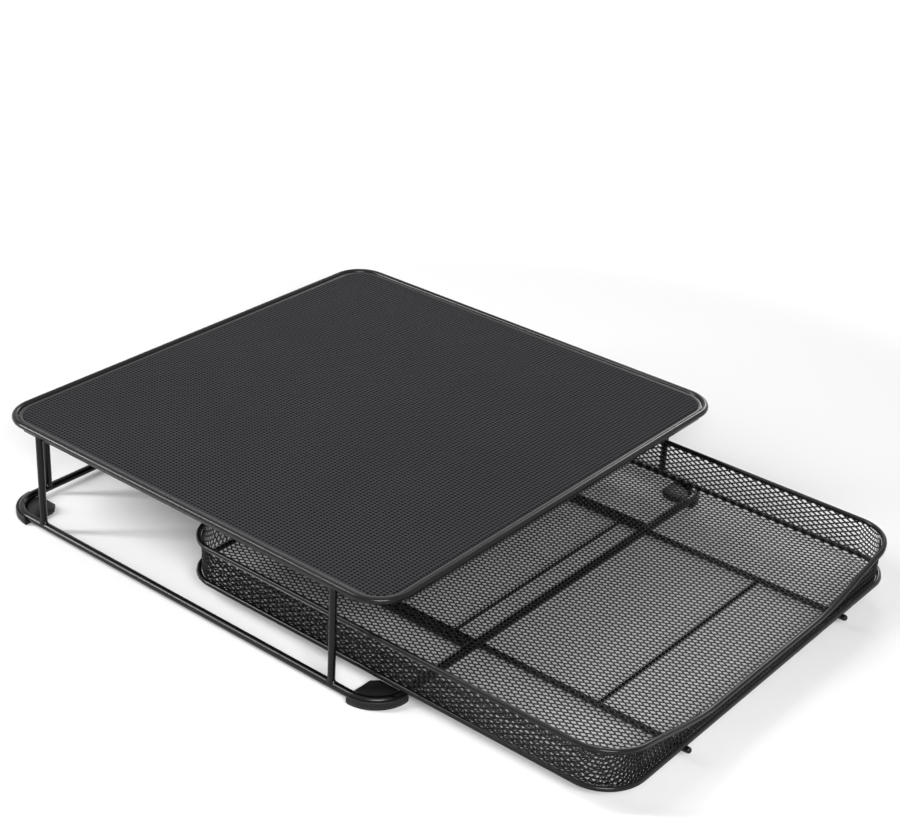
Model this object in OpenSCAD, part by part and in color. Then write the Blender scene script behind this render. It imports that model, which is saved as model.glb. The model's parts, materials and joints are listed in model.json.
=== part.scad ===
// Coffee pod drawer: a welded wire stand with a non-slip platform, and a
// low expanded-metal drawer that slides in and out under the platform.
// Millimetres. +Z is up, the drawer opens towards -Y, and the origin is on
// the table under the middle of the whole object with the drawer part open.

/* [Stand] */
// Width of the platform over its rim wire
stand_w = 350; // [300:1:420]
// Depth of the platform over its rim wire
stand_d = 332; // [290:1:420]
// Height of the rim wire's top above the table
stand_h = 75; // [70:1:110]
// Outer corner radius of the platform and of the base ring
corner_r = 24; // [18:1:40]
// Thickness of the platform's rim wire
rim_d = 4.2; // [3:0.1:6]
// Thickness of the frame and support wires under the platform
frame_d = 4.2; // [3:0.1:5]
// How far the frame wires sit inside the rim wire, centre to centre
frame_in = 2.6; // [1:0.1:3]
// Thickness of the legs
leg_d = 4.6; // [3:0.1:6]
// Distance of the side legs from the stand's front and back
side_leg_in = 39; // [36:1:60]
// Distance of the back legs from the stand's sides
back_leg_in = 36.5; // [34:0.5:60]
// Thickness of the base ring's wire
base_d = 5.2; // [4:0.1:6]

/* [Platform] */
// Thickness of the sheet-steel panel
panel_t = 0.8; // [0.5:0.1:1.5]
// Thickness of the non-slip mat
mat_t = 1; // [1:0.1:2.5]
// Gap between the mat's edge and the rim wire
mat_gap = 0.5; // [0.3:0.1:3]

/* [Feet] */
// Thickness of the rubber pad under each foot
pad_t = 1; // [0.6:0.1:3]
// Step between the pad's edge and the foot's edge
pad_in = 0.8; // [0.3:0.1:2]
// Thickness of the foot's outer wall
foot_wall = 1.5; // [1:0.1:2.5]
// Thickness of the foot's floor under the ring
foot_floor = 1.2; // [0.8:0.1:2.5]
// Height of the foot's wall above the middle of the ring
foot_lip = 1; // [0.2:0.1:2]
// Reach of the foot's inner block along the front or back
foot_w = 26; // [18:0.5:30]
// Reach of the foot's inner block along the side
foot_l = 26; // [22:0.5:34]
// Height of the foot's inner block above its underside
foot_block_h = 3.2; // [2:0.1:5]
// Corner cut off the inner block
foot_cut = 4.5; // [2:0.5:8]
// Gap between the ring and the foot's inner block
foot_gap = 0.2; // [0.1:0.1:0.6]

/* [Drawer] */
// Gap between the drawer and the legs on each side
side_gap = 11.1; // [2:0.1:30]
// How far the closed drawer's front stands out past the platform
front_proud = 6.4; // [0:0.1:20]
// Height of the drawer at its sides and back
drawer_h = 28.5; // [26:0.5:38]
// Height of the drawer's front at its middle
front_h = 12; // [11:0.5:20]
// Half the length of the front's straight low part
dip_half = 55; // [30:1:90]
// Outer corner radius of the drawer
drawer_r = 28; // [20:1:40]
// Thickness of the wires round the drawer's upper and lower edge
drawer_rim_d = 3.6; // [3:0.1:5]
// Thickness of the expanded-metal mesh
mesh_t = 0.8; // [0.5:0.1:1.2]
// Number of openings along and across the drawer's floor
floor_cells = 12; // [4:1:12]
// Width of the bars between the floor's openings, and of the band round them
floor_bar = 6; // [4:0.5:10]
// Thickness of the cross wires between the runners
cross_d = 2.2; // [2:0.1:3.5]
// Distance of the front and back cross wires from the drawer's ends
cross_in = 60; // [40:1:100]

/* [Slide] */
// Thickness of the two rails on the base ring
rail_d = 4.6; // [3:0.1:5]
// Thickness of the two runners under the drawer
runner_d = 4; // [3:0.1:5]
// Distance of each runner from the drawer's side
runner_in = 70; // [40:1:110]
// How far the runners' tips stand out past the drawer's ends
runner_tip = 2.5; // [1:0.1:4]
// Side play between a runner and its rail
side_play = 1.5; // [0.5:0.1:3]
// Running clearance under the drawer
slide_gap = 0.3; // [0.2:0.05:0.6]
// Gap between the closed drawer and the back legs
close_gap = 1.5; // [0.5:0.1:5]
// How far the drawer stands open as modelled
open_rest = 144; // [0:1:180]

/* [Hidden] */
$fn = 48;
sweep_sides = 16;
bend_steps = 9;
swoop_steps = 14;
sheet_drop = 0.9;        // keeps the front sheets clear of the swooping rim's facets
leg_short = 0.3;         // keeps a leg's top below where the rim and frame wires touch
foot_lap = 1;            // how far the band under the ring runs into the inner block

// Heights, from the table up
base_z = pad_t + foot_floor + base_d / 2;
base_top = base_z + base_d / 2;
rim_z = stand_h - rim_d / 2;
frame_drop = sqrt(pow((rim_d + frame_d) / 2, 2) - frame_in * frame_in);
frame_z = rim_z - frame_drop;
panel_z = frame_z + frame_d / 2;
mat_z = panel_z + panel_t;
leg_top = (rim_z + frame_z) / 2 - leg_short;
drawer_z = base_top + slide_gap + max(rail_d, runner_d);
ring_z = drawer_z + drawer_rim_d / 2;
floor_z = drawer_z;
high_z = drawer_z + drawer_h - drawer_rim_d / 2;
low_z = drawer_z + front_h - drawer_rim_d / 2;

// Places in the plan, measured from the stand's outer faces
rim_in = rim_d / 2;
frame_side = rim_in + frame_in;
base_in = base_d / 2;
wire_in = drawer_rim_d / 2;
wall_in = drawer_rim_d + mesh_t;

// The drawer fits between the legs, and closed, it stops short of the back legs
drawer_w = stand_w - 2 * (base_in + leg_d / 2 + side_gap);
closed_back = stand_d / 2 - base_in - leg_d / 2 - close_gap;
drawer_l = closed_back + stand_d / 2 + front_proud;

// Places along Y: the whole object is centred on the origin
back_reach = stand_d / 2 + foot_wall;
front_reach = drawer_l + runner_tip + open_rest - closed_back;
stand_y = (front_reach - back_reach) / 2;
drawer_back = stand_y + closed_back - open_rest;
drawer_y = drawer_back - drawer_l / 2;

runner_x = drawer_w / 2 - runner_in;
rail_x = runner_x + (runner_d + rail_d) / 2 + side_play;

support_x = stand_w / 2 - frame_side - frame_d / 2;
swoop_end = drawer_w / 2 - wire_in;
cross_y = drawer_l / 2 - cross_in;

wire_color = "#1c1c1e";
mesh_color = "#242427";

// ---- Shapes that repeat ----

// Straight wire along Y, centred on its middle
module wire_y(length, d) {
    rotate([90, 0, 0]) cylinder(h = length, d = d, center = true);
}

// Straight wire along X, centred on its middle
module wire_x(length, d) {
    rotate([0, 90, 0]) cylinder(h = length, d = d, center = true);
}

// Quarter bend of a wire, from the +X side round to the +Y side
module wire_bend(radius, d) {
    rotate_extrude(angle = 90) translate([radius, 0]) circle(d = d);
}

// Copies a corner piece, drawn at +X +Y, to the side sx and the end sy
module at_corner(sx, sy) {
    mirror([sx < 0 ? 1 : 0, 0, 0]) mirror([0, sy < 0 ? 1 : 0, 0]) children();
}

// Rectangle with round corners
module rounded_plan(w, d, r) {
    square([w - 2 * r, d], center = true);
    square([w, d - 2 * r], center = true);
    for (sx = [-1, 1], sy = [-1, 1])
        translate([sx * (w / 2 - r), sy * (d / 2 - r)]) circle(r);
}

// Closed wire ring: w, depth and r are taken over the outside of the wire
module wire_ring(w, depth, r, d) {
    for (s = [-1, 1]) {
        translate([s * (w / 2 - d / 2), 0, 0]) wire_y(depth - 2 * r, d);
        translate([0, s * (depth / 2 - d / 2), 0]) wire_x(w - 2 * r, d);
    }
    for (sx = [-1, 1], sy = [-1, 1])
        at_corner(sx, sy) translate([w / 2 - r, depth / 2 - r, 0]) wire_bend(r - d / 2, d);
}

// ---- Platform ----

module in_stand() {
    translate([0, stand_y, 0]) children();
}

module top_mat() {
    inset = rim_d + mat_gap;
    color("#3a3a3d") in_stand() translate([0, 0, mat_z]) linear_extrude(mat_t)
        rounded_plan(stand_w - 2 * inset, stand_d - 2 * inset, corner_r - inset);
}

module top_panel() {
    color(wire_color) in_stand() translate([0, 0, panel_z]) linear_extrude(panel_t)
        rounded_plan(stand_w - 2 * rim_d, stand_d - 2 * rim_d, corner_r - rim_d);
}

module top_rim() {
    color(wire_color) in_stand() translate([0, 0, rim_z])
        wire_ring(stand_w, stand_d, corner_r, rim_d);
}

// Frame wires lie just inside and below the rim wire's straight runs
module frame_wire_side(s) {
    color(wire_color) in_stand() translate([s * (stand_w / 2 - frame_side), 0, frame_z])
        wire_y(stand_d - 2 * corner_r, frame_d);
}

module frame_wire_end(s) {
    color(wire_color) in_stand() translate([0, s * (stand_d / 2 - frame_side), frame_z])
        wire_x(stand_w - 2 * corner_r, frame_d);
}

// Support wires run from side to side under the panel
module support_wire(s) {
    color(wire_color) in_stand() translate([0, s * stand_d / 4, frame_z])
        wire_x(2 * support_x, frame_d);
}

// ---- Legs ----

// A leg stands on the ring and ends under the rim and frame wires. Its foot is
// coped to the ring, and its top to those two wires.
module side_leg(sx, sy) {
    x = stand_w / 2 - base_in;
    color(wire_color) in_stand() mirror([sx < 0 ? 1 : 0, 0, 0]) difference() {
        translate([x, sy * (stand_d / 2 - side_leg_in), base_z])
            cylinder(h = leg_top - base_z, d = leg_d);
        translate([x, 0, base_z]) wire_y(stand_d, base_d);
        translate([stand_w / 2 - frame_side, 0, frame_z]) wire_y(stand_d, frame_d);
        translate([stand_w / 2 - rim_in, 0, rim_z]) wire_y(stand_d, rim_d);
    }
}

module back_leg(sx) {
    y = stand_d / 2 - base_in;
    color(wire_color) in_stand() mirror([sx < 0 ? 1 : 0, 0, 0]) difference() {
        translate([stand_w / 2 - back_leg_in, y, base_z])
            cylinder(h = leg_top - base_z, d = leg_d);
        translate([0, y, base_z]) wire_x(stand_w, base_d);
        translate([0, stand_d / 2 - frame_side, frame_z]) wire_x(stand_w, frame_d);
        translate([0, stand_d / 2 - rim_in, rim_z]) wire_x(stand_w, rim_d);
    }
}

// ---- Base ring, feet and rails ----

module base_wire_side(s) {
    color(wire_color) in_stand() translate([s * (stand_w / 2 - base_in), 0, base_z])
        wire_y(stand_d - 2 * corner_r, base_d);
}

module base_wire_end(s) {
    color(wire_color) in_stand() translate([0, s * (stand_d / 2 - base_in), base_z])
        wire_x(stand_w - 2 * corner_r, base_d);
}

module base_bend(sx, sy) {
    color(wire_color) in_stand() at_corner(sx, sy)
        translate([stand_w / 2 - corner_r, stand_d / 2 - corner_r, base_z])
            wire_bend(corner_r - base_in, base_d);
}

// Band round the outside of a corner, between two radii, for the corner at +X +Y
module corner_band(r_out, r_in) {
    translate([stand_w / 2 - corner_r, stand_d / 2 - corner_r]) intersection() {
        difference() {
            circle(r_out);
            circle(r_in);
        }
        square(2 * r_out);
    }
}

// Block inside the ring's bend, with its inner corner cut off
module corner_block(shrink) {
    inset = base_d + foot_gap + shrink;
    x_in = stand_w / 2 - foot_w + shrink;
    y_in = stand_d / 2 - foot_l + shrink;
    intersection() {
        rounded_plan(stand_w - 2 * inset, stand_d - 2 * inset, corner_r - inset);
        polygon([
            [x_in, y_in + foot_cut], [x_in + foot_cut, y_in],
            [stand_w, y_in], [stand_w, stand_d], [x_in, stand_d]
        ]);
    }
}

// Plan of a foot, or of its pad, which is smaller all round by shrink
module foot_plan(shrink) {
    r_in = corner_r - base_d - foot_gap - foot_lap - shrink;
    corner_band(corner_r + foot_wall - shrink, r_in);
    corner_block(shrink);
}

// A plastic foot cups the ring's bend between an outer wall and an inner block
module foot(sx, sy) {
    color("#202023") in_stand() at_corner(sx, sy) translate([0, 0, pad_t]) {
        linear_extrude(foot_floor) foot_plan(0);
        linear_extrude(base_z + foot_lip - pad_t) corner_band(corner_r + foot_wall, corner_r);
        linear_extrude(foot_block_h) corner_block(0);
    }
}

// Rubber pad under a foot
module pad(sx, sy) {
    color("#161617") in_stand() at_corner(sx, sy) linear_extrude(pad_t) foot_plan(pad_in);
}

// Rails run front to back on top of the base ring, just outside the runners
module rail(s) {
    color(wire_color) in_stand() translate([s * rail_x, 0, base_top + rail_d / 2])
        wire_y(stand_d - base_d, rail_d);
}

// ---- Drawer ----

module in_drawer() {
    translate([0, drawer_y, 0]) children();
}

// Height of the upper rim's middle at x along the front: low in the middle,
// rising in an S to the full height at the sides
function swoop(t) = t <= 0 ? 0 : t >= 1 ? 1 : t * t * (3 - 2 * t);
function rim_height(x) =
    low_z + (high_z - low_z) * swoop((abs(x) - dip_half) / (swoop_end - dip_half));
// Top edge of the front sheets, behind the swooping rim
function sheet_top(x) = rim_height(x) - sheet_drop;

// Plan of the tray inside its walls, drawn in by inset
module tray_plan(inset) {
    edge_in = wall_in + inset;
    rounded_plan(drawer_w - 2 * edge_in, drawer_l - 2 * edge_in, drawer_r - edge_in);
}

// Expanded-metal floor, as a sheet with a plain grid of openings
module drawer_floor() {
    step_x = (drawer_w - 2 * wall_in - floor_bar) / floor_cells;
    step_y = (drawer_l - 2 * wall_in - floor_bar) / floor_cells;
    middle = (floor_cells - 1) / 2;
    color(mesh_color) in_drawer() translate([0, 0, floor_z]) linear_extrude(mesh_t) difference() {
        tray_plan(0);
        intersection() {
            tray_plan(floor_bar);
            for (i = [0:floor_cells - 1], j = [0:floor_cells - 1])
                translate([step_x * (i - middle), step_y * (j - middle)])
                    square([step_x - floor_bar, step_y - floor_bar], center = true);
        }
    }
}

// Wall sheets stand round the floor, inside the two wires, up to the upper one's middle
module drawer_wall_side(s) {
    color(mesh_color) in_drawer()
        translate([s * (drawer_w / 2 - wall_in + mesh_t / 2), 0, (floor_z + high_z) / 2])
            cube([mesh_t, drawer_l - 2 * drawer_r, high_z - floor_z], center = true);
}

module drawer_wall_back() {
    color(mesh_color) in_drawer()
        translate([0, drawer_l / 2 - wall_in + mesh_t / 2, (floor_z + high_z) / 2])
            cube([drawer_w - 2 * drawer_r, mesh_t, high_z - floor_z], center = true);
}

module drawer_wall_front() {
    edge = drawer_w / 2 - drawer_r;
    xs = [for (i = [-swoop_steps:swoop_steps]) edge * i / swoop_steps];
    outline = concat([for (x = xs) [x, sheet_top(x)]], [[edge, floor_z], [-edge, floor_z]]);
    color(mesh_color) in_drawer() translate([0, -drawer_l / 2 + wall_in, 0])
        rotate([90, 0, 0]) linear_extrude(mesh_t) polygon(outline);
}

// Sheet round a corner of the drawer, for the corner at +X +Y
module corner_sheet() {
    r = drawer_r - drawer_rim_d;
    translate([drawer_w / 2 - drawer_r, drawer_l / 2 - drawer_r, floor_z])
        linear_extrude(high_z - floor_z) intersection() {
            difference() {
                circle(r);
                circle(r - mesh_t);
            }
            square(2 * r);
        }
}

module drawer_corner_back(s) {
    color(mesh_color) in_drawer() at_corner(s, 1) corner_sheet();
}

module drawer_corner_front(s) {
    start = drawer_w / 2 - drawer_r - 1;
    end = drawer_w / 2 + 1;
    xs = [for (i = [0:swoop_steps]) start + (end - start) * i / swoop_steps];
    above = concat([for (x = xs) [x, sheet_top(x)]], [[end, high_z], [start, high_z]]);
    color(mesh_color) in_drawer() mirror([s < 0 ? 1 : 0, 0, 0]) difference() {
        at_corner(1, -1) corner_sheet();
        translate([0, -drawer_l / 2 + drawer_r, 0]) rotate([90, 0, 0])
            linear_extrude(2 * drawer_r) polygon(above);
    }
}

// ---- Drawer rims ----

module drawer_rim_side(s) {
    color(wire_color) in_drawer() translate([s * (drawer_w / 2 - wire_in), 0, high_z])
        wire_y(drawer_l - 2 * drawer_r, drawer_rim_d);
}

module drawer_rim_back() {
    color(wire_color) in_drawer() translate([0, drawer_l / 2 - wire_in, high_z])
        wire_x(drawer_w - 2 * drawer_r, drawer_rim_d);
}

module drawer_rim_front() {
    color(wire_color) in_drawer() translate([0, -drawer_l / 2 + wire_in, low_z])
        wire_x(2 * dip_half, drawer_rim_d);
}

module drawer_rim_bend(s) {
    color(wire_color) in_drawer() at_corner(s, 1)
        translate([drawer_w / 2 - drawer_r, drawer_l / 2 - drawer_r, high_z])
            wire_bend(drawer_r - wire_in, drawer_rim_d);
}

// Path of the swooping rim on the right: round the corner from the side, then
// along the front to where it is straight and low
function swoop_path() = let (
        r = drawer_r - wire_in,
        cx = drawer_w / 2 - drawer_r,
        cy = -drawer_l / 2 + drawer_r
    ) concat(
        [for (i = [0:bend_steps]) let (a = -90 * i / bend_steps, x = cx + r * cos(a))
            [x, cy + r * sin(a), rim_height(x)]],
        [for (i = [1:swoop_steps]) let (x = cx + (dip_half - cx) * i / swoop_steps)
            [x, cy - r, rim_height(x)]]
    );

function unit(v) = v / norm(v);

// Round bar of diameter d along a path of points
module bar_along(path, d, first, last) {
    n = len(path);
    sides = sweep_sides;
    points = [for (i = [0:n - 1]) let (
            along = i == 0 ? first : i == n - 1 ? last : unit(path[i + 1] - path[i - 1]),
            across = unit(cross(along, [0, 0, 1])),
            up = cross(across, along)
        ) for (k = [0:sides - 1]) let (a = 360 * k / sides)
            path[i] + d / 2 * (cos(a) * across + sin(a) * up)];
    skin = [for (i = [0:n - 2], k = [0:sides - 1]) let (k2 = (k + 1) % sides)
        [i * sides + k, i * sides + k2, (i + 1) * sides + k2, (i + 1) * sides + k]];
    caps = [
        [for (k = [sides - 1:-1:0]) k],
        [for (k = [0:sides - 1]) (n - 1) * sides + k]
    ];
    polyhedron(points, concat(skin, caps), convexity = 4);
}

module drawer_rim_swoop(s) {
    color(wire_color) in_drawer() mirror([s < 0 ? 1 : 0, 0, 0])
        bar_along(swoop_path(), drawer_rim_d, [0, -1, 0], [-1, 0, 0]);
}

module drawer_base_ring() {
    color(wire_color) in_drawer() translate([0, 0, ring_z])
        wire_ring(drawer_w, drawer_l, drawer_r, drawer_rim_d);
}

// ---- Runners and cross wires ----

module runner(s) {
    straight = drawer_l + 2 * runner_tip - runner_d;
    color(wire_color) in_drawer() translate([s * runner_x, 0, drawer_z - runner_d / 2]) {
        wire_y(straight, runner_d);
        for (e = [-1, 1]) translate([0, e * straight / 2, 0]) sphere(d = runner_d);
    }
}

// Cross wires join the runners, flush with their tops and coped to their sides
module cross_wire(y) {
    color(wire_color) in_drawer() difference() {
        translate([0, y, drawer_z - cross_d / 2]) wire_x(2 * runner_x - runner_d / 2, cross_d);
        for (s = [-1, 1])
            translate([s * runner_x, y, drawer_z - runner_d / 2]) wire_y(2 * cross_d, runner_d);
    }
}

top_mat();
top_panel();
top_rim();
frame_wire_side(-1);  // frame_wire_left
frame_wire_side(1);  // frame_wire_right
frame_wire_end(-1);  // frame_wire_front
frame_wire_end(1);  // frame_wire_back
support_wire(-1);  // support_wire_front
support_wire(0);  // support_wire_middle
support_wire(1);  // support_wire_back
side_leg(-1, -1);  // leg_left_front
side_leg(-1, 1);  // leg_left_back
side_leg(1, -1);  // leg_right_front
side_leg(1, 1);  // leg_right_back
back_leg(-1);  // leg_back_left
back_leg(1);  // leg_back_right
base_wire_side(-1);  // base_wire_left
base_wire_side(1);  // base_wire_right
base_wire_end(-1);  // base_wire_front
base_wire_end(1);  // base_wire_back
base_bend(-1, -1);  // base_bend_front_left
base_bend(1, -1);  // base_bend_front_right
base_bend(-1, 1);  // base_bend_back_left
base_bend(1, 1);  // base_bend_back_right
foot(-1, -1);  // foot_front_left
foot(1, -1);  // foot_front_right
foot(-1, 1);  // foot_back_left
foot(1, 1);  // foot_back_right
pad(-1, -1);  // pad_front_left
pad(1, -1);  // pad_front_right
pad(-1, 1);  // pad_back_left
pad(1, 1);  // pad_back_right
rail(-1);  // rail_left
rail(1);  // rail_right
drawer_floor();
drawer_wall_side(-1);  // drawer_wall_left
drawer_wall_side(1);  // drawer_wall_right
drawer_wall_front();
drawer_wall_back();
drawer_corner_front(-1);  // drawer_corner_front_left
drawer_corner_front(1);  // drawer_corner_front_right
drawer_corner_back(-1);  // drawer_corner_back_left
drawer_corner_back(1);  // drawer_corner_back_right
drawer_rim_side(-1);  // drawer_rim_left
drawer_rim_side(1);  // drawer_rim_right
drawer_rim_front();
drawer_rim_back();
drawer_rim_swoop(-1);  // drawer_rim_swoop_left
drawer_rim_swoop(1);  // drawer_rim_swoop_right
drawer_rim_bend(-1);  // drawer_rim_bend_left
drawer_rim_bend(1);  // drawer_rim_bend_right
drawer_base_ring();
runner(-1);  // runner_left
runner(1);  // runner_right
cross_wire(-cross_y);  // cross_wire_front
cross_wire(0);  // cross_wire_middle
cross_wire(cross_y);  // cross_wire_back
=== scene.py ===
# %% [markdown]
# # A coffee pod drawer
# A low stand of welded steel wire carries a platform with a non-slip mat, and a shallow drawer
# pressed from expanded metal slides out from under it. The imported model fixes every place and
# size, in metres. This notebook gives each piece the shape and finish that it has close up.

# %% The frame and the tools
import json
import math

import bmesh
import bpy
import numpy as np
from mathutils import Matrix, Vector


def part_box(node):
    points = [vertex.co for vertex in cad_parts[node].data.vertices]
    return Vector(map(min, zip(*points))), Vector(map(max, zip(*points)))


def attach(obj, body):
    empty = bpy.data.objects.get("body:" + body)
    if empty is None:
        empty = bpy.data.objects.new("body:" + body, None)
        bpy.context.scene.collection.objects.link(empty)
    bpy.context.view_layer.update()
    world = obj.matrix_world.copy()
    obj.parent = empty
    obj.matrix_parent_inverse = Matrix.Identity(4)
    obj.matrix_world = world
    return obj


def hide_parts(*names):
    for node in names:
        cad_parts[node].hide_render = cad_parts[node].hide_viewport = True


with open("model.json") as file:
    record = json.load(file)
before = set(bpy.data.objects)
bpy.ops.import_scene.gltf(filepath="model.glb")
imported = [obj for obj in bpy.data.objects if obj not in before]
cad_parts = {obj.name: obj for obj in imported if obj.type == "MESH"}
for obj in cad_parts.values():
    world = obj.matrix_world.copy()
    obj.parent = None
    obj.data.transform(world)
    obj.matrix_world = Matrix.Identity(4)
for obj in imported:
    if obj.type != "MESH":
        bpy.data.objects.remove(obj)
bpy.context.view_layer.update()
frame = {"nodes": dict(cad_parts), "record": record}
nodes = frame["nodes"]
MM = 0.001

# %% [markdown]
# ## Camera
# A long lens keeps the wires nearly parallel. The camera stands to the left and in front of the
# object, a little above it. Its matrix is written from three angles and a place, so nothing
# has to be aimed by eye.


# %% Camera
def put_in_scene(name, data):
    """A new object made of a mesh, a lamp or a camera, linked into the scene."""
    made = bpy.data.objects.new(name, data)
    bpy.context.scene.collection.objects.link(made)
    return made


LENS, SENSOR = 73.27, 36.0  # focal length and sensor width, in millimetres
CAMERA_AT = (-815.69, -629.19, 635.64)  # millimetres from the origin
turn, rise, roll = (math.radians(x) for x in (-52.05, 27.65, 3.08))
back = Vector((math.sin(turn) * math.cos(rise), -math.cos(turn) * math.cos(rise), math.sin(rise)))
right = (-back).cross(Vector((0, 0, 1))).normalized()
up = back.cross(right)
across = math.cos(roll) * right + math.sin(roll) * up
upward = math.cos(roll) * up - math.sin(roll) * right
camera = put_in_scene("camera", bpy.data.cameras.new("camera"))
camera.data.lens, camera.data.sensor_width = LENS, SENSOR
view = Matrix((across, upward, back)).transposed().to_4x4()
view.translation = Vector(CAMERA_AT) * MM
camera.matrix_world = view
bpy.context.scene.camera = camera
bpy.context.scene.view_settings.view_transform = "Standard"
print("camera stands", round(view.translation.length, 3), "m from the origin")

# %% [markdown]
# ## Colour and nodes
# Colours are written as sRGB hex values, as a paint chart gives them, and turned to linear light
# by one function. Another small function adds a node with its settings and its links, so that a
# material reads as a list of what it is made of.


# %% Colour and node helpers
def linear(hex_colour):
    """An sRGB hex colour as linear red, green, blue and alpha."""
    parts = [int(hex_colour[i : i + 2], 16) / 255 for i in (1, 3, 5)]
    return [x / 12.92 if x <= 0.04045 else ((x + 0.055) / 1.055) ** 2.4 for x in parts] + [1.0]


def add(tree, kind, settings=None, links=None):
    """Adds a node. Settings are properties or sockets' values, links the sockets it reads."""
    node = tree.nodes.new(kind)
    for name, value in (settings or {}).items():
        if isinstance(name, str) and hasattr(node, name):
            setattr(node, name, value)
        else:
            node.inputs[name].default_value = value
    for name, source in (links or {}).items():
        tree.links.new(source, node.inputs[name])
    return node


def new_material(name):
    """An empty node material: its tree and its output node."""
    material = bpy.data.materials.new(name)
    material.use_nodes = True
    tree = material.node_tree
    tree.nodes.clear()
    return material, tree, tree.nodes.new("ShaderNodeOutputMaterial")


print("mid grey in linear light:", [round(x, 4) for x in linear("#808080")])

# %% [markdown]
# ## Studio
# A white floor runs back to a white surround. The camera, and reflections, see the surround and
# the far floor as pure white, while the light that they throw on the object stays plain. Close
# to the object the paper is hardly lifted, so the floor there takes the object's shadow.
# A tall strip behind on the left draws a line along the left-hand wires. A softbox by the
# camera lights the bends that face it, and two weak boxes fill in from the right and above.

# %% Surround and floor
SEEN_BY_EYE = ("Is Camera Ray", "Is Glossy Ray", "Is Transmission Ray")
ROOM_LIGHT = 0.2  # the surround's light on the object, where 1 is how bright it is seen
LIFT_FROM, LIFT_TO = 0.45, 0.9  # metres from the origin over which the paper turns pure white
LIFT_NEAR = 0.04  # how much the paper is lifted close to the object
HALF_FLOOR = 4.0  # half the paper's width, in metres
FLOOR_DROP = 0.2  # millimetres from the pads down to the paper, so that no faces coincide


def seen_directly(tree):
    """1 where the camera, a reflection or a clear material looks, and 0 for other light."""
    path = add(tree, "ShaderNodeLightPath")
    total = path.outputs[SEEN_BY_EYE[0]]
    for kind in SEEN_BY_EYE[1:]:
        total = add(
            tree,
            "ShaderNodeMath",
            {"operation": "MAXIMUM"},
            {0: total, 1: path.outputs[kind]},
        ).outputs[0]
    return total


world = bpy.data.worlds.new("studio")
world.use_nodes = True
bpy.context.scene.world = world
sky = world.node_tree
sky.nodes.clear()
room = add(sky, "ShaderNodeBackground", {"Color": linear("#ffffff"), "Strength": ROOM_LIGHT})
white = add(sky, "ShaderNodeBackground", {"Color": linear("#ffffff"), "Strength": 1.0})
choice = add(
    sky,
    "ShaderNodeMixShader",
    {},
    {0: seen_directly(sky), 1: room.outputs[0], 2: white.outputs[0]},
)
add(sky, "ShaderNodeOutputWorld", {}, {"Surface": choice.outputs[0]})

paper, tree, output = new_material("studio_paper")
matt = add(tree, "ShaderNodeBsdfDiffuse", {"Color": linear("#eeeeee")})
place = add(tree, "ShaderNodeNewGeometry")
far = add(
    tree,
    "ShaderNodeVectorMath",
    {"operation": "LENGTH"},
    {0: place.outputs["Position"]},
)
fade = add(
    tree,
    "ShaderNodeMapRange",
    {
        "interpolation_type": "SMOOTHSTEP",
        "From Min": LIFT_FROM,
        "From Max": LIFT_TO,
        "To Min": LIFT_NEAR,
    },
    {"Value": far.outputs["Value"]},
)
lift = add(
    tree,
    "ShaderNodeEmission",
    {"Color": linear("#ffffff")},
    {"Strength": fade.outputs["Result"]},
)
shown = add(
    tree, "ShaderNodeMixShader", {}, {0: seen_directly(tree), 2: lift.outputs[0]}
)
both = add(tree, "ShaderNodeAddShader", {}, {0: matt.outputs[0], 1: shown.outputs[0]})
tree.links.new(both.outputs[0], output.inputs["Surface"])

floor_mesh = bpy.data.meshes.new("studio_floor")
floor_mesh.from_pydata(
    [
        (x * HALF_FLOOR, y * HALF_FLOOR, -FLOOR_DROP * MM)
        for x, y in ((-1, -1), (1, -1), (1, 1), (-1, 1))
    ],
    [],
    [(0, 1, 2, 3)],
)
floor_mesh.materials.append(paper)
studio_floor = put_in_scene("studio_floor", floor_mesh)
print("floor", 2 * HALF_FLOOR, "m wide, room light", ROOM_LIGHT)


# %% Lamps
def softbox(name, place, target, width, height, watts):
    """A rectangular lamp at a place in metres, turned towards a target."""
    lamp = bpy.data.lights.new(name, "AREA")
    lamp.shape, lamp.size, lamp.size_y, lamp.energy = "RECTANGLE", width, height, watts
    box = put_in_scene(name, lamp)
    box.location = place
    aim = Vector(target) - Vector(place)
    box.rotation_euler = aim.to_track_quat("-Z", "Y").to_euler()


softbox("tall_strip_back_left", (-1.15, 1.3, 1.1), (-0.1, 0.05, 0.3), 0.26, 1.8, watts=34)
softbox("softbox_by_the_camera", (-1.05, -1.1, 1.05), (-0.1, -0.1, 0.05), 0.9, 0.3, watts=30)
softbox("softbox_back_right", (1.35, 0.5, 0.8), (0, 0, 0.03), 0.6, 0.4, watts=6)
softbox("top_softbox", (0.1, 0.3, 1.6), (0, 0, 0), 1.0, 1.0, watts=3)

# %% [markdown]
# ## Powder coat
# Wire and mesh are mild steel with a black powder coat: a polyester powder that is sprayed on
# and baked. It flows into a satin skin with a faint orange peel, waves a millimetre or two
# long, which break up a highlight softly. It is paint, so it isn't metallic, and its IOR is
# about 1.5.

# %% Powder coat
PEEL, PEEL_DEPTH = 1.6, 0.02  # length and depth of the orange peel's waves, in millimetres
PATCH, UNEVEN = 24, 0.05  # millimetres across a patch of other gloss, and how much it differs


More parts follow.
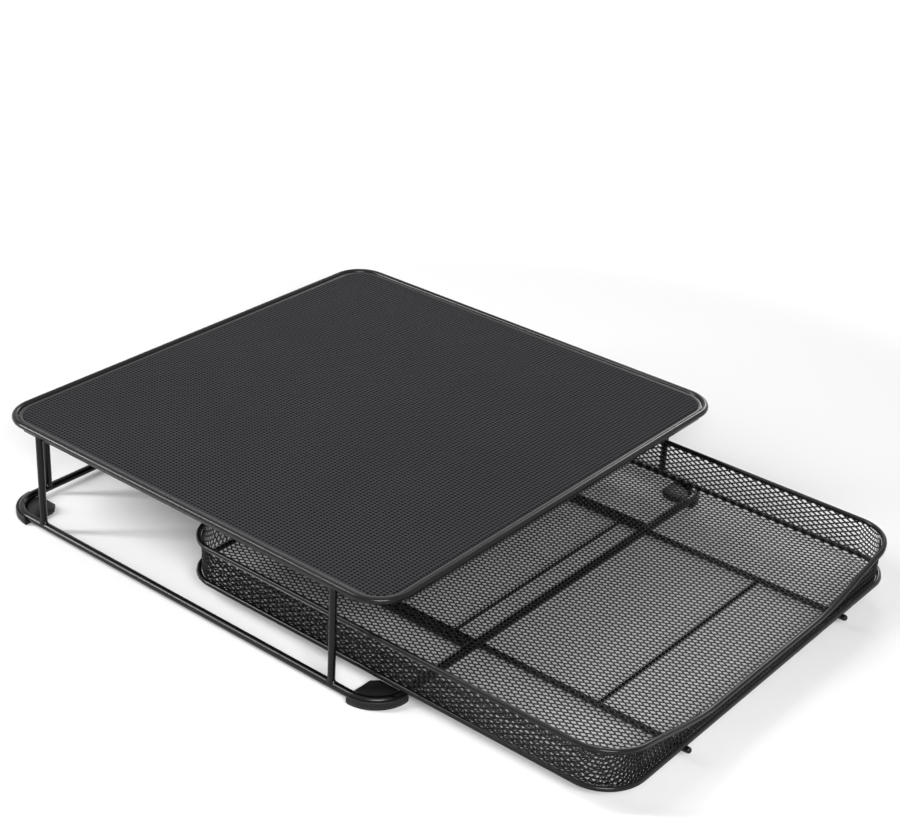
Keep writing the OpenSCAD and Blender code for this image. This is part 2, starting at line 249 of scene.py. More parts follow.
def powder_coat(name, colour, roughness):
    """Black powder coat on steel, with orange peel and slightly uneven gloss."""
    material, tree, output = new_material(name)
    place = add(tree, "ShaderNodeTexCoord")
    peel = add(
        tree,
        "ShaderNodeTexNoise",
        {"Scale": 1 / (PEEL * MM), "Detail": 1.0, "Roughness": 0.4},
        {"Vector": place.outputs["Object"]},
    )
    patches = add(
        tree,
        "ShaderNodeTexNoise",
        {"Scale": 1 / (PATCH * MM), "Detail": 2.0},
        {"Vector": place.outputs["Object"]},
    )
    gloss = add(
        tree,
        "ShaderNodeMapRange",
        {
            "From Min": 0.3,
            "From Max": 0.7,
            "To Min": roughness - UNEVEN,
            "To Max": roughness + UNEVEN,
        },
        {"Value": patches.outputs["Fac"]},
    )
    tint = add(
        tree,
        "ShaderNodeMix",
        {"data_type": "RGBA", 6: linear(colour), 7: linear("#0b0b0c")},
        {0: patches.outputs["Fac"]},
    )
    relief = add(
        tree,
        "ShaderNodeBump",
        {"Strength": 0.3, "Distance": PEEL_DEPTH * MM},
        {"Height": peel.outputs["Fac"]},
    )
    coat = add(
        tree,
        "ShaderNodeBsdfPrincipled",
        {"IOR": 1.5, "Specular IOR Level": 0.24},
        {
            "Base Color": tint.outputs[2],
            "Roughness": gloss.outputs["Result"],
            "Normal": relief.outputs["Normal"],
        },
    )
    tree.links.new(coat.outputs[0], output.inputs["Surface"])
    return material


wire_coat = powder_coat("black_powder_coat_on_wire", "#050506", 0.22)
mesh_coat = powder_coat("black_powder_coat_on_expanded_mesh", "#121213", 0.34)
print("powder coats:", wire_coat.name, mesh_coat.name)

# %% [markdown]
# ## Mat, feet and pads
# The mat is foamed PVC with a grid of small dimples, one every 2.6 mm or so, which grip the
# machine's feet. It is matt and a little lighter than the wires. Its border is the same vinyl
# pressed smooth, so it shines a little. The feet are moulded polypropylene with a fine
# spark-eroded grain, which gives them a soft sheen. The pads are plain black rubber, which
# hardly shines. The real grains are about 0.1 mm. They are drawn three to five times as coarse,
# so that they show.

# %% Mat pattern
PITCH_X, PITCH_Y = 2.54, 2.70  # from dimple to dimple, in millimetres
DIMPLE_FLOOR, DIMPLE_EDGE = 0.31, 0.42  # radius of a dimple's floor and of its edge, in pitches
DIMPLE_DEPTH = 0.3  # millimetres
FOAM_GRAIN, WORN_PATCH = 0.5, 60  # the foam's grain, and patches of a paler grey, in millimetres
FIELD_W, FIELD_L = 336, 318  # the dimpled field inside the border, in millimetres
mat_vinyl, tree, output = new_material("dimpled_foam_vinyl")
place = add(tree, "ShaderNodeTexCoord")
flat = add(
    tree,
    "ShaderNodeVectorMath",
    {"operation": "MULTIPLY", 1: (1 / (PITCH_X * MM), 1 / (PITCH_Y * MM), 0)},
    {0: place.outputs["Object"]},
)
cell = add(
    tree, "ShaderNodeVectorMath", {"operation": "FRACTION"}, {0: flat.outputs["Vector"]}
)
from_middle = add(
    tree,
    "ShaderNodeVectorMath",
    {"operation": "DISTANCE", 1: (0.5, 0.5, 0)},
    {0: cell.outputs["Vector"]},
)
dimple = add(
    tree,
    "ShaderNodeMapRange",
    {"interpolation_type": "SMOOTHSTEP", "From Min": DIMPLE_FLOOR, "From Max": DIMPLE_EDGE},
    {"Value": from_middle.outputs["Value"]},
)
grain = add(
    tree,
    "ShaderNodeTexNoise",
    {"Scale": 1 / (FOAM_GRAIN * MM), "Detail": 2.0},
    {"Vector": place.outputs["Object"]},
)
worn = add(
    tree,
    "ShaderNodeTexNoise",
    {"Scale": 1 / (WORN_PATCH * MM), "Detail": 3.0},
    {"Vector": place.outputs["Object"]},
)
print("dimples across the mat:", round(FIELD_W / PITCH_X), "by", round(FIELD_L / PITCH_Y))

# %% Mat colour and relief
face = add(
    tree,
    "ShaderNodeMix",
    {"data_type": "RGBA", 6: linear("#333336"), 7: linear("#3b3b3e")},
    {0: worn.outputs["Fac"]},
)
# The dimples are painted near black (#030303): this is painted shade in the pits, laid over the
# dimples' real bump.
face_and_painted_pit_shade = add(
    tree,
    "ShaderNodeMix",
    {"data_type": "RGBA", 6: linear("#030303")},
    {0: dimple.outputs["Result"], 7: face.outputs[2]},
)
height = add(
    tree,
    "ShaderNodeMath",
    {"operation": "MULTIPLY_ADD", 1: 0.15},
    {0: grain.outputs["Fac"], 2: dimple.outputs["Result"]},
)
relief = add(
    tree,
    "ShaderNodeBump",
    {"Strength": 0.6, "Distance": DIMPLE_DEPTH * MM},
    {"Height": height.outputs["Value"]},
)
vinyl = add(
    tree,
    "ShaderNodeBsdfPrincipled",
    {"Roughness": 0.85, "IOR": 1.5, "Specular IOR Level": 0.1},
    {"Base Color": face_and_painted_pit_shade.outputs[2], "Normal": relief.outputs["Normal"]},
)
tree.links.new(vinyl.outputs[0], output.inputs["Surface"])
print("mat material:", mat_vinyl.name, "with", len(tree.nodes), "nodes")


# %% Foot and pad materials
def moulded(name, colour, roughness, grain_size, depth, specular=0.2):
    """A moulded plastic or rubber with a fine even grain, its size and depth in millimetres."""
    material, tree, output = new_material(name)
    place = add(tree, "ShaderNodeTexCoord")
    grain = add(
        tree,
        "ShaderNodeTexNoise",
        {"Scale": 1 / (grain_size * MM), "Detail": 2.0},
        {"Vector": place.outputs["Object"]},
    )
    tint = add(
        tree,
        "ShaderNodeMix",
        {"data_type": "RGBA", 6: linear(colour), 7: linear("#1d1d1f")},
        {0: grain.outputs["Fac"]},
    )
    relief = add(
        tree,
        "ShaderNodeBump",
        {"Strength": 0.3, "Distance": depth * MM},
        {"Height": grain.outputs["Fac"]},
    )
    plastic = add(
        tree,
        "ShaderNodeBsdfPrincipled",
        {"Roughness": roughness, "IOR": 1.49, "Specular IOR Level": specular},
        {"Base Color": tint.outputs[2], "Normal": relief.outputs["Normal"]},
    )
    tree.links.new(plastic.outputs[0], output.inputs["Surface"])
    return material


foot_plastic = moulded("moulded_black_polypropylene", "#161617", 0.42, 0.4, 0.03)
pad_rubber = moulded("black_rubber_pad", "#131314", 0.8, 0.3, 0.05)
mat_border = moulded("smooth_pressed_vinyl_border", "#1c1c1e", 0.3, 0.5, 0.02, specular=0.42)
print("moulded:", foot_plastic.name, pad_rubber.name, mat_border.name)

# %% [markdown]
# ## Sizes
# Shapes are worked out in millimetres and turned to metres when their mesh is made. The
# drawer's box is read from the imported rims, and the height of the upper rim follows an S from
# the side down to the low front, as in the CAD.


# %% Sizes read from the frame
def box_mm(node):
    """Lowest and highest corner of a CAD node, in millimetres."""
    return [np.array(corner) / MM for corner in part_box(node)]


ring_low, ring_high = box_mm("drawer_base_ring")
high_top, low_top = box_mm("drawer_rim_left")[1], box_mm("drawer_rim_front")[1]
floor_low, floor_high = box_mm("drawer_floor")
RIM = ring_high[2] - ring_low[2]  # thickness of the drawer's two rims
MESH = floor_high[2] - floor_low[2]  # thickness of the CAD's sheet
DRAWER_R = 28.0  # outer radius of the drawer's corners
half_w, half_l = (ring_high[0] - ring_low[0]) / 2, (ring_high[1] - ring_low[1]) / 2
mid_y = (ring_high[1] + ring_low[1]) / 2
high_z, low_z = high_top[2] - RIM / 2, low_top[2] - RIM / 2
ring_z, floor_z = ring_low[2] + RIM / 2, (floor_low[2] + floor_high[2]) / 2
dip_half = low_top[0]
print("drawer", 2 * half_w, "x", 2 * half_l, "mm, rim from", low_z, "to", high_z)


def rim_height(x):
    """Height of the upper rim's middle at x along the front."""
    t = np.clip((np.abs(x) - dip_half) / (half_w - RIM / 2 - dip_half), 0, 1)
    return low_z + (high_z - low_z) * t * t * (3 - 2 * t)


# %% [markdown]
# ## Expanded mesh
# Expanded metal is one sheet, slit and stretched until each slit opens to a diamond. Its strands
# are twisted a little, so each knuckle, called a bond, leans like a tile and catches the light.
# The tray is pressed from one sheet: the diamonds lie along the side walls, stand upright in
# the front wall, and turn and close up round the corners. So the pattern is laid out on the
# flat sheet first, and each point is then folded up into the tray. That gives real holes, and
# the turning in the corners comes by itself.

# %% The flat pattern and the fold
LONG, SHORT = 6.9 / 2, 3.48 / 2  # half a diamond's length and width, in millimetres
BOND_LONG, BOND_SHORT = 1.0, 0.4  # half a bond's length and width
LEAN = 0.22  # how far a bond's edges stand out of the sheet
STRAND = 0.5  # thickness of the sheet that the mesh is cut from
WALL_IN = RIM + MESH / 2  # from the drawer's outer face to the middle of the wall
FOLD = 1.2  # radius of the fold between floor and wall
SPARE = 40  # how far the flat sheet is laid out past the drawer's sides
fold_w, fold_l = half_w - WALL_IN - FOLD, half_l - WALL_IN - FOLD
fold_r = DRAWER_R - WALL_IN - FOLD
CORNERS = {  # place of a hole's corner from the hole's middle, and how far it leans out
    "long+": (0, LONG - BOND_LONG, 0),
    "short+": (SHORT - BOND_SHORT, 0, -LEAN),
    "long-": (0, BOND_LONG - LONG, 0),
    "short-": (BOND_SHORT - SHORT, 0, LEAN),
}


def past_fold(flat):
    """For points of the flat sheet: how far past the fold they lie, and the way out there."""
    q = np.abs(flat) - np.array([fold_w - fold_r, fold_l - fold_r])
    in_corner = (q > 0).all(1)
    length = np.maximum(np.linalg.norm(q, axis=1), 1e-9)
    side = q[:, 0] - fold_r > q[:, 1] - fold_r
    out = np.where(side[:, None], [1.0, 0.0], [0.0, 1.0])
    out = np.where(in_corner[:, None], q / length[:, None], out)
    past = np.where(in_corner, length, q.max(1)) - fold_r
    return past, out * np.where(flat < 0, -1.0, 1.0)


def fold_up(flat, lift):
    """Folds points of the flat sheet, and their lift off it to the outside, into the tray."""
    past, out = past_fold(flat)
    past = np.maximum(past, 0)
    angle = np.minimum(past / FOLD, math.pi / 2)
    straight = past - angle * FOLD
    reach = FOLD * np.sin(angle) + lift * np.sin(angle)
    plan = flat + out * (reach - past)[:, None]
    z = floor_z + FOLD * (1 - np.cos(angle)) + straight - lift * np.cos(angle)
    return np.column_stack([plan[:, 0], plan[:, 1] + mid_y, z])


def top_height(points):
    """Height of the rim's middle over points of the wall."""
    front = points[:, 1] < mid_y - half_l + DRAWER_R
    return np.where(front, rim_height(points[:, 0]), high_z)


columns, rows = int((half_w + SPARE) / SHORT), int((half_l + SPARE) / LONG)
print("fold line", round(2 * fold_w, 1), "x", round(2 * fold_l, 1), "mm, corner", round(fold_r, 1))

# %% [markdown]
# Every second point of a grid is a bond and the others are holes. A strand joins two bonds and
# runs between two holes. Where a strand passes into the rim it is cut off inside it, and every
# open end is closed, so the mesh is a solid that could be printed.


# %% Bonds and strands
def strand_corners(m, n, step):
    """The two edges of the strand from bond (m, n) to bond (m + 1, n + step), as hole corners."""
    if step > 0:
        one = ((m, n + 1, "long-"), (m, n + 1, "short+"))
        other = ((m + 1, n, "short-"), (m + 1, n, "long+"))
    else:
        one = ((m + 1, n, "short-"), (m + 1, n, "long-"))
        other = ((m, n - 1, "long+"), (m, n - 1, "short+"))
    return one, other


def bond_corners(m, n):
    """The four corners of a bond, in turn."""
    return [(m, n + 1, "long-"), (m + 1, n, "short-"), (m, n - 1, "long+"), (m - 1, n, "short+")]


def place_of(corners):
    """Places in the tray, in millimetres, of hole corners on both faces of the sheet."""
    flat = np.array([[m * SHORT + CORNERS[c][0], n * LONG + CORNERS[c][1]] for m, n, c in corners])
    lean = np.array([CORNERS[c][2] for _, _, c in corners])
    return fold_up(flat, lean + STRAND / 2), fold_up(flat, lean - STRAND / 2)


def bond_places():
    """All bonds of the sheet, with how far past the fold each lies and if it is under the rim."""
    grid = [
        (m, n)
        for m in range(-columns, columns + 1)
        for n in range(-rows, rows + 1)
        if (m + n) % 2 == 0
    ]
    flat = np.array(grid) * np.array([SHORT, LONG])
    past, _ = past_fold(flat)
    folded = fold_up(flat, np.zeros(len(flat)))
    under = folded[:, 2] < top_height(folded)
    return {bond: (past[i], bool(under[i])) for i, bond in enumerate(grid)}


bonds = bond_places()
print("bonds under the rim:", sum(under for _, under in bonds.values()))


# %% Which strands belong to a share of the mesh
def strands_where(belongs):
    """Strands with an end under the rim whose end nearest the fold belongs to the share."""
    strands = []
    for m, n in bonds:
        for step in (1, -1):
            ends = [(m, n), (m + 1, n + step)]
            if ends[1] not in bonds or not any(bonds[e][1] for e in ends):
                continue
            if belongs(min(bonds[e][0] for e in ends if bonds[e][1])):
                strands.append((m, n, step))
    return strands


print("strands in all:", len(strands_where(lambda past: True)))


# %% Building a share of the mesh
def expanded_metal(name, belongs):
    """The strands and bonds for which belongs(distance past the fold) holds, as one solid."""
    chosen = {b for b, (past, under) in bonds.items() if under and belongs(past)}
    keys, joined = {}, {}

    def at(corner):
        """The number of a hole's corner, new the first time."""
        return keys.setdefault(corner, len(keys))

    def note(*edge):
        """Keeps an edge, because one that no other face shares is closed at the end."""
        joined.setdefault(frozenset(edge), []).append(edge)

    faces, cuts = [], []
    for m, n in sorted(chosen):
        quad = [at(c) for c in bond_corners(m, n)]
        faces.append((quad, "sheet"))
        for i in range(4):
            note(quad[i], quad[(i + 1) % 4])
    for m, n, step in strands_where(belongs):
        one, other = strand_corners(m, n, step)
        a, b, c, d = at(one[0]), at(one[1]), at(other[1]), at(other[0])
        out = [not bonds[(m, n)][1], not bonds[(m + 1, n + step)][1]]
        cuts.append(((a, b, c, d), out))
    order = sorted(keys, key=keys.get)
    front, rear = place_of(order)
    points = [list(front), list(rear)]

    def clipped(inside, beyond):
        """New corners on both faces where the edge from inside to beyond meets the rim's middle."""
        made = []
        for face in points:
            p, q = face[inside], face[beyond]
            gap_p, gap_q = (top_height(x[None])[0] - x[2] for x in (p, q))
            share = 1.0 if gap_q >= 0 else max(gap_p, 0.0) / max(gap_p - gap_q, 1e-6)
            made.append(p + (q - p) * share)
        for face, place in zip(points, made):
            face.append(place)
        return len(points[0]) - 1

    for (a, b, c, d), (start_out, end_out) in cuts:
        if end_out:
            b, c = clipped(a, b), clipped(d, c)
        if start_out:
            a, d = clipped(b, a), clipped(c, d)
        faces.append(((d, c, b, a), "sheet"))
        for edge in ((b, a), (d, c)):
            faces.append((edge, "side"))
        note(a, d)
        note(c, b)
    count = len(points[0])
    polygons = []
    for corners, kind in faces:
        if kind == "sheet":
            polygons.append(tuple(corners))
            polygons.append(tuple(i + count for i in reversed(corners)))
        else:
            i, j = corners
            polygons.append((i, j, j + count, i + count))
    for edges in joined.values():
        if len(edges) == 1:
            i, j = edges[0]
            polygons.append((j, i, i + count, j + count))
    mesh = bpy.data.meshes.new(name)
    mesh.from_pydata([tuple(p * MM) for p in points[0] + points[1]], [], polygons)
    mesh.validate()
    mesh.shade_smooth()
    return put_in_scene(name, mesh)


SPLIT = -1.0  # the floor's share of the mesh ends this far inside the fold, in millimetres
mesh_floor = expanded_metal("mesh_floor", lambda past: past < SPLIT)
mesh_walls = expanded_metal("mesh_walls", lambda past: past >= SPLIT)
for piece in (mesh_floor, mesh_walls):
    print(piece.name, len(piece.data.vertices), "points,", len(piece.data.polygons), "faces")

# %% The mesh's bake map and coat
SKEW, MARGIN = 0.3, 0.01  # how far height shifts the bake map, and the rim left free round it


def plan_map(piece):
    """A bake map from above. The pattern has thousands of faces, and each needs little."""
    mesh = piece.data
    places = np.empty(len(mesh.vertices) * 3)
    mesh.vertices.foreach_get("co", places)
    places = places.reshape(-1, 3)
    corner = np.empty(len(mesh.loops), int)
    mesh.loops.foreach_get("vertex_index", corner)
    spread = places[corner][:, [0, 1]] + places[corner][:, [2]] * SKEW
    low, high = spread.min(0), spread.max(0)
    unit = MARGIN + (1 - 2 * MARGIN) * (spread - low) / (high - low)
    layer = mesh.uv_layers.new(name="OFBake")
    layer.uv.foreach_set("vector", unit.astype(np.float32).ravel())


for piece, replaced in (
    (mesh_floor, ["drawer_floor"]),
    (
        mesh_walls,
        ["drawer_wall_" + s for s in ("left", "right", "front", "back")]
        + ["drawer_corner_" + s for s in ("front_left", "front_right", "back_left", "back_right")],
    ),
):
    plan_map(piece)
    piece.data.materials.append(mesh_coat)
    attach(piece, "drawer")
    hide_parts(*replaced)
    print(piece.name, "stands for", len(replaced), "CAD nodes")

# %% [markdown]
# ## Rims
# The mesh's upper edge is rolled outward round a wire, and a second ring of wire holds the tray's
# foot. A rolled edge is a spiral: it ends in a small step that shows as a fine line, and the
# sheet laps a little way onto the lower ring too. So the section is a circle that grows a
# little on its way round, swept along the rim's path.


# %% Sweeping a section round a closed path
def rounded_path(w, depth, r, spacing=6.0, bend_steps=16):
    """Points round a rectangle with round corners, counterclockwise from above."""

    def on_bend(corner, degrees):
        """A point on the bend of one corner, at an angle from +X."""
        sx, sy = ((1, -1), (1, 1), (-1, 1), (-1, -1))[corner % 4]
        a = math.radians(degrees)
        return sx * (w - r) + r * math.cos(a), sy * (depth - r) + r * math.sin(a)

    points = []
    for corner in range(4):
        for i in range(bend_steps + 1):
            points.append(on_bend(corner, -90 + 90 * corner + 90 * i / bend_steps))
        start, goal = points[-1], on_bend(corner + 1, 90 * corner)
        way_x, way_y = goal[0] - start[0], goal[1] - start[1]
        count = max(1, round(math.dist(start, goal) / spacing))
        for i in range(1, count):
            points.append((start[0] + way_x * i / count, start[1] + way_y * i / count))
    return np.array(points)


def rolled_section(radius, step, step_angle, sides=28):
    """A round section with a small step, where the rolled sheet ends."""
    turns = np.linspace(0, 1, sides + 1)
    angles = math.radians(step_angle) + 2 * math.pi * turns
    radii = radius - step * (1 - turns)
    return np.column_stack([radii * np.cos(angles), radii * np.sin(angles)])


def sweep(name, path, section, material, smooth_angle=40):
    """A closed tube along a closed path of places in millimetres."""
    along = np.roll(path, -1, axis=0) - np.roll(path, 1, axis=0)
    along /= np.linalg.norm(along, axis=1)[:, None]
    out = np.cross(along, [0, 0, 1.0])
    out /= np.linalg.norm(out, axis=1)[:, None]
    high = np.cross(out, along)
    places = (
        path[:, None] + out[:, None] * section[None, :, :1] + high[:, None] * section[None, :, 1:]
    )
    count, sides = len(path), len(section)
    polygons = [
        (
            i * sides + k,
            (i + 1) % count * sides + k,
            (i + 1) % count * sides + (k + 1) % sides,
            i * sides + (k + 1) % sides,
        )
        for i in range(count)
        for k in range(sides)
    ]
    mesh = bpy.data.meshes.new(name)
    mesh.from_pydata([tuple(p) for p in places.reshape(-1, 3) * MM], [], polygons)
    mesh.materials.append(material)
    mesh.shade_smooth()
    mesh.set_sharp_from_angle(angle=math.radians(smooth_angle))
    return put_in_scene(name, mesh)


plan = rounded_path(half_w - RIM / 2, half_l - RIM / 2, DRAWER_R - RIM / 2)
print("points round the drawer's rims:", len(plan))

# %% The drawer's two rims
ROLL_STEP = 0.35  # how far the end of the rolled sheet stands out, in millimetres
UPPER_STEP_AT, LOWER_STEP_AT = -40, -25  # where it ends round the wire, in degrees
front = plan[:, 1] < -half_l + DRAWER_R
heights = np.where(front, rim_height(plan[:, 0]), high_z)
upper_path = np.column_stack([plan[:, 0], plan[:, 1] + mid_y, heights])
lower_path = np.column_stack([plan[:, 0], plan[:, 1] + mid_y, np.full(len(plan), ring_z)])
upper_section = rolled_section(RIM / 2, ROLL_STEP, UPPER_STEP_AT)
lower_section = rolled_section(RIM / 2, ROLL_STEP, LOWER_STEP_AT)
upper_rim = sweep("rolled_upper_rim", upper_path, upper_section, wire_coat)
lower_rim = sweep("lower_rim", lower_path, lower_section, wire_coat)
for piece, replaced in (
    (
        upper_rim,
        ["drawer_rim_" + s for s in ("left", "right", "front", "back")]
        + ["drawer_rim_swoop_left", "drawer_rim_swoop_right"]
        + ["drawer_rim_bend_left", "drawer_rim_bend_right"],
    ),
    (lower_rim, ["drawer_base_ring"]),
):
    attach(piece, "drawer")
    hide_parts(*replaced)
    print(piece.name, len(piece.data.polygons), "faces")

# %% [markdown]
# ## The stand's two rings
# The platform's rim and the base ring are each one wire, bent round and butt-welded. They are
# swept in one go, so the highlight runs round the corners without a break.

# %% Rim and base ring
STAND_R = 24.0  # outer radius of the stand's corners, in millimetres


def round_section(radius, sides=32):
    """A plain round section."""
    turns = np.linspace(0, 2 * math.pi, sides, endpoint=False)
    return radius * np.column_stack([np.cos(turns), np.sin(turns)])


def ring(name, low, high, *replaced):
    """One closed wire ring that fills the box from low to high, in place of CAD nodes."""
    radius = (high[2] - low[2]) / 2
    w, depth = (high[0] - low[0]) / 2 - radius, (high[1] - low[1]) / 2 - radius
    plan = rounded_path(w, depth, STAND_R - radius)
    path = np.column_stack([plan[:, 0], plan[:, 1] + (low[1] + high[1]) / 2, 0 * plan[:, 0]])
    path[:, 2] = (low[2] + high[2]) / 2
    piece = sweep(name, path, round_section(radius), wire_coat)
    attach(piece, "stand")
    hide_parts(*replaced)
    print(name, round(2 * radius, 2), "mm wire,", len(piece.data.polygons), "faces")


ring("platform_rim_wire", *box_mm("top_rim"), "top_rim")
base_nodes = ["base_wire_" + s for s in ("left", "right", "front", "back")]
base_nodes += ["base_bend_" + s for s in ("front_left", "front_right", "back_left", "back_right")]
base_boxes = np.array([box_mm(node) for node in base_nodes])
base_low, base_high = base_boxes[:, 0].min(0), base_boxes[:, 1].max(0)
ring("base_ring_wire", base_low, base_high, *base_nodes)

# %% [markdown]
# ## Mat
# The die that cuts the mat also presses a smooth border round it, which slopes down to a fine
# step, and the dimples fill the rest. A stack of loops, each further in, gives that section.


# %% Mat
def tube(rows, loops, closed=False):
    """Faces that join equal loops of points in turn, with a cap at each end unless closed."""
    count = rows // loops
    sides = [
        (
            i * count + k,
            i * count + (k + 1) % count,
            (i + 1) % loops * count + (k + 1) % count,
            (i + 1) % loops * count + k,
        )
        for i in range(loops if closed else loops - 1)
        for k in range(count)
    ]
    caps = [] if closed else [tuple(reversed(range(count))), tuple(range(rows - count, rows))]
    return sides + caps


mat_low, mat_high = box_mm("top_mat")
mat_w, mat_l = (mat_high[0] - mat_low[0]) / 2, (mat_high[1] - mat_low[1]) / 2
mat_y = (mat_high[1] + mat_low[1]) / 2
MAT_R = 19.3  # radius of the mat's corners, in millimetres
PLAIN_SIDE = 400  # a spacing longer than the mat, so that its straight sides get no points
# Steps of the section from the edge inwards: distance in, and how far under the mat's top
EDGE_STEPS = [(0.0, 0.3), (0.05, 0.1), (0.15, 0.0), (0.3, 0.01), (1.2, 0.1), (2.2, 0.45)]
FIELD_STEPS = [(2.3, 0.5), (2.6, 0.06), (2.8, 0.0)]
outline = [(0.0, mat_low[2])]
outline += [(inset, mat_high[2] - under) for inset, under in EDGE_STEPS + FIELD_STEPS]
verts = []
for inset, z in outline:
    loop = rounded_path(mat_w - inset, mat_l - inset, MAT_R - inset, spacing=PLAIN_SIDE)
    verts += [(x * MM, (y + mat_y) * MM, z * MM) for x, y in loop]
border_faces = len(EDGE_STEPS) * (len(verts) // len(outline))
mesh = bpy.data.meshes.new("dimpled_mat")
mesh.from_pydata(verts, [], tube(len(verts), len(outline)))
mesh.materials.append(mat_vinyl)
mesh.materials.append(mat_border)
for face in mesh.polygons:
    face.material_index = 1 if face.index < border_faces else 0
mesh.shade_smooth()
mesh.set_sharp_from_angle(angle=math.radians(40))
mat = put_in_scene("dimpled_mat", mesh)
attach(mat, "stand")
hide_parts("top_mat")
print("mat", round(2 * mat_w, 1), "x", round(2 * mat_l, 1), "mm")

# %% [markdown]
# ## Feet
# Each foot is one moulding. A low band with rounded ends and a moulded line cups the ring's
# bend from outside, a floor runs under the wire, and a block with a bevelled top fills the bend.
# The band is a section turned about the bend's middle, and the block a stack of loops.

# %% The foot's band and block
BEND_AT = np.array([151.0, 142.0])  # middle of a bend, from the middle of the stand
BAND = [  # section of the band and the floor: radius and height
    (17.8, 1.0), (25.2, 1.0), (25.5, 1.3), (25.5, 3.0), (25.25, 3.15), (25.25, 3.45), (25.5, 3.6),
    (25.5, 5.3), (25.35, 5.65), (25.0, 5.8), (24.3, 5.8), (24.02, 5.55), (24.02, 2.2), (17.8, 2.2),
]
BLOCK = [(0.4, 1.0), (0.0, 1.3), (0.0, 3.3), (0.25, 3.75), (1.0, 4.2)]  # inset and height
END = 1.6  # radius of the band's rounded ends
BAND_R = 25.0  # radius along which the band's length is measured
FLOOR_TOP, BAND_RISE = 2.2, 3.6  # top of the floor under the wire, and the band's rise above it
BLOCK_R, BLOCK_CUT = 18.6, 2.5  # radius of the block's round side, and size of its cut corner
BLOCK_PAST = 2.0  # how far the block reaches past the bend's middle


def band_places():
    """Places of the band's sections along a quarter turn, drawn down towards both ends."""
    arc = math.pi / 2 * BAND_R
    first = [0, 0.05, 0.2, 0.5, 0.9, END]  # close together where the end is round
    stations = first + list(np.linspace(END, arc - END, 22)[1:-1]) + [arc - s for s in first[::-1]]
    rows = []
    for s in stations:
        near = min(s, arc - s, END)
        drop = END - math.sqrt(END**2 - (END - near) ** 2)
        angle = s / BAND_R
        for radius, z in BAND:
            if z > FLOOR_TOP:
                z = FLOOR_TOP + (z - FLOOR_TOP) * (BAND_RISE - drop) / BAND_RISE
            rows.append((radius * math.cos(angle), radius * math.sin(angle), z))
    return rows, len(stations)


def block_loop(inset):
    """Plan of the block in the bend, drawn in by inset."""
    low, cut = inset - BLOCK_PAST, BLOCK_CUT + inset * (math.sqrt(2) - 1)
    radius = BLOCK_R - inset
    arc = [(radius * math.cos(a), radius * math.sin(a)) for a in np.linspace(0, math.pi / 2, 17)]
    return [(low, cut), (cut, low), (radius, low)] + arc + [(low, radius)]


band, stations = band_places()
block = [(x, y, z) for inset, z in BLOCK for x, y in block_loop(inset)]
print("foot:", len(band), "points in the band,", len(block), "in the block")


# %% Feet
def solid(name, verts, polygons, material, smooth_angle):
    """One object on the stand from points in millimetres, with its faces turned outwards."""
    mesh = bpy.data.meshes.new(name)
    mesh.from_pydata([tuple(p) for p in np.array(verts) * MM], [], polygons)
    shape = bmesh.new()
    shape.from_mesh(mesh)
    bmesh.ops.recalc_face_normals(shape, faces=shape.faces)
    shape.to_mesh(mesh)
    shape.free()
    mesh.materials.append(material)
    mesh.shade_smooth()
    mesh.set_sharp_from_angle(angle=math.radians(smooth_angle))
    piece = put_in_scene(name, mesh)
    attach(piece, "stand")
    return piece


foot_faces = tube(len(band), stations)
foot_faces += [tuple(len(band) + i for i in face) for face in tube(len(block), len(BLOCK))]
for end, sy in (("front", -1), ("back", 1)):
    for side, sx in (("left", -1), ("right", 1)):
        places = np.array(band + block)
        places[:, :2] = (places[:, :2] + BEND_AT) * (sx, sy) + (0, mat_y)
        name = f"moulded_foot_{end}_{side}"
        foot = solid(name, places, foot_faces, foot_plastic, smooth_angle=50)
        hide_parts(f"foot_{end}_{side}")
print("foot", len(foot_faces), "faces")

# %% [markdown]
# ## Weld fillets
# Every leg is welded to the base ring below and to the platform's rim above. The melted metal
# runs into the notch between the two round bars, so a small hollow collar follows the saddle
# line where they meet.

# %% Weld fillets
ROUND_LEG = 40  # sections round a leg
CLIMB = 1.2  # how far a fillet climbs the leg, in millimetres like all that follow
SPREAD, SPREAD_MORE = 0.2, 0.9  # reach over the wire across its run, and how much more along it
HOLLOW = 0.12  # how far its face falls back from straight
TOP_SHARE, FOOT_SHARE = 0.42, 0.58  # where that is, between the face's top and its foot
ON_LEG, ON_WIRE = 0.03, 0.06  # thickness of its edges on the leg and on the wire
SUNK, SUNK_EDGE, SUNK_HEEL = 0.3, 0.15, 0.2  # how far its hidden sides lie inside the steel


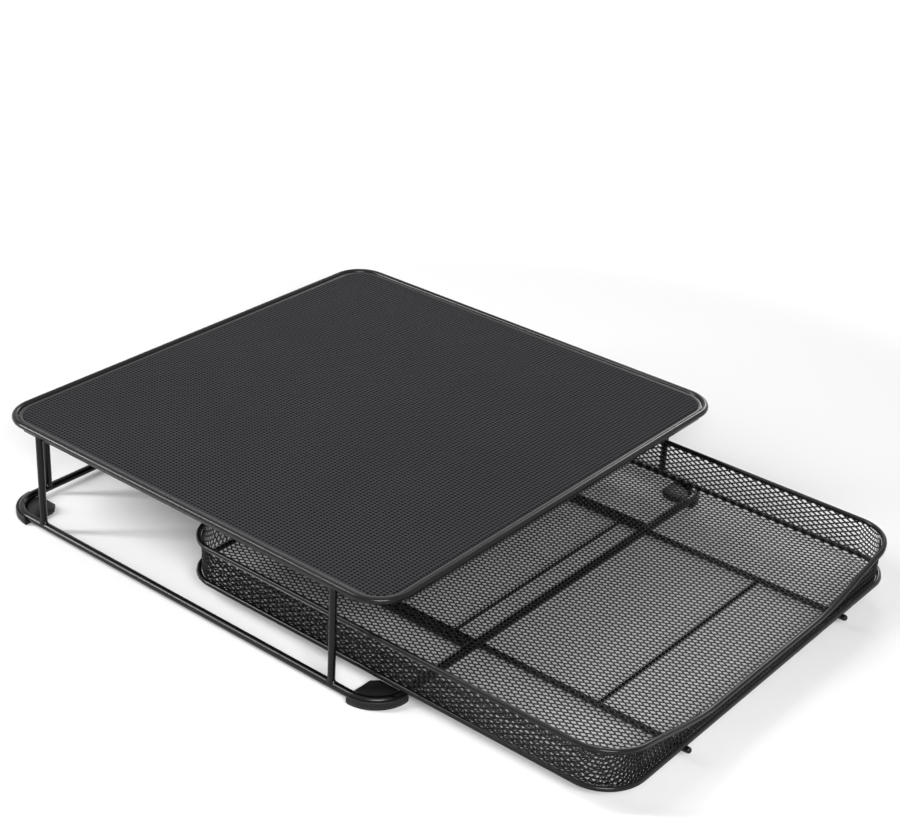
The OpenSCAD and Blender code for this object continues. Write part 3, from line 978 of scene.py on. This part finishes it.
def weld(name, leg, wire_along, wire_middle, wire_radius, side):
    """A fillet round a leg's end, on top of a wire (side 1) or under it (side -1)."""
    low, high = leg
    middle, leg_radius = (low[:2] + high[:2]) / 2, (high[0] - low[0]) / 2
    offset = wire_middle[0] - middle[1 - wire_along]

    def on_wire(radius, across):
        """Height of the wire's surface at a radius from the leg's axis, never past its side."""
        x = min(abs(radius * across - offset), wire_radius * 0.999)
        return wire_middle[1] + side * math.sqrt(wire_radius**2 - x * x)

    loops = []
    for a in np.linspace(0, 2 * math.pi, ROUND_LEG, endpoint=False):
        way = np.array([math.cos(a), math.sin(a)])
        across = way[1 - wire_along]
        foot_r = leg_radius + SPREAD + SPREAD_MORE * (1 - across**2)
        start, finish = on_wire(leg_radius, across) + side * CLIMB, on_wire(foot_r, across)
        section = [  # distance from the leg's axis, and height
            (leg_radius - SUNK, start),
            (leg_radius + ON_LEG, start),
            (0.5 * (leg_radius + foot_r) - HOLLOW, TOP_SHARE * start + FOOT_SHARE * finish),
            (foot_r, finish + side * ON_WIRE),
            (foot_r - SUNK_EDGE, finish - side * SUNK),
            (leg_radius - SUNK, finish - side * SUNK_HEEL),
        ]
        loops += [(*(middle + way * r), z) for r, z in section]
    faces = tube(len(loops), ROUND_LEG, closed=True)
    fillet = solid(name, loops, faces, wire_coat, smooth_angle=60)


rim_low, rim_high = box_mm("top_rim")
rim_r, base_r = (rim_high[2] - rim_low[2]) / 2, (base_high[2] - base_low[2]) / 2
for spot in ("left_front", "left_back", "right_front", "right_back", "back_left", "back_right"):
    leg = box_mm("leg_" + spot)
    along = 0 if spot.startswith("back") else 1
    plus = not spot.startswith("left")
    for where, (low, high), radius, side in (
        ("foot", (base_low, base_high), base_r, 1),
        ("top", (rim_low, rim_high), rim_r, -1),
    ):
        across_at = high[1 - along] - radius if plus else low[1 - along] + radius
        weld(f"weld_{where}_{spot}", leg, along, (across_at, high[2] - radius), radius, side)

# %% [markdown]
# ## Wires that keep their CAD shape
# The legs, the frame and support wires, the rails, the runners and the cross wires are plain
# round bars, the panel is flat and the pads are small blocks. The CAD draws them as they are,
# so they only need their finish, and smooth shading round the bars.

# %% Materials for the CAD nodes
COATS = {
    "powder_coat_wire": wire_coat,
    "powder_coat_mesh": mesh_coat,
    "mat_rubber": mat_vinyl,
    "foot_plastic": foot_plastic,
    "pad_rubber": pad_rubber,
}
BAR_SMOOTH = 35  # degrees between two faces up to which they are shaded as one
for subpart in frame["record"]["subparts"]:
    node = nodes[subpart["node"]]
    node.data.materials.clear()
    node.data.materials.append(COATS[subpart["material_slot"]])
    node.data.shade_smooth()
    node.data.set_sharp_from_angle(angle=math.radians(BAR_SMOOTH))
shown = [n for n in nodes if not nodes[n].hide_render]
print("CAD nodes that show:", len(shown))
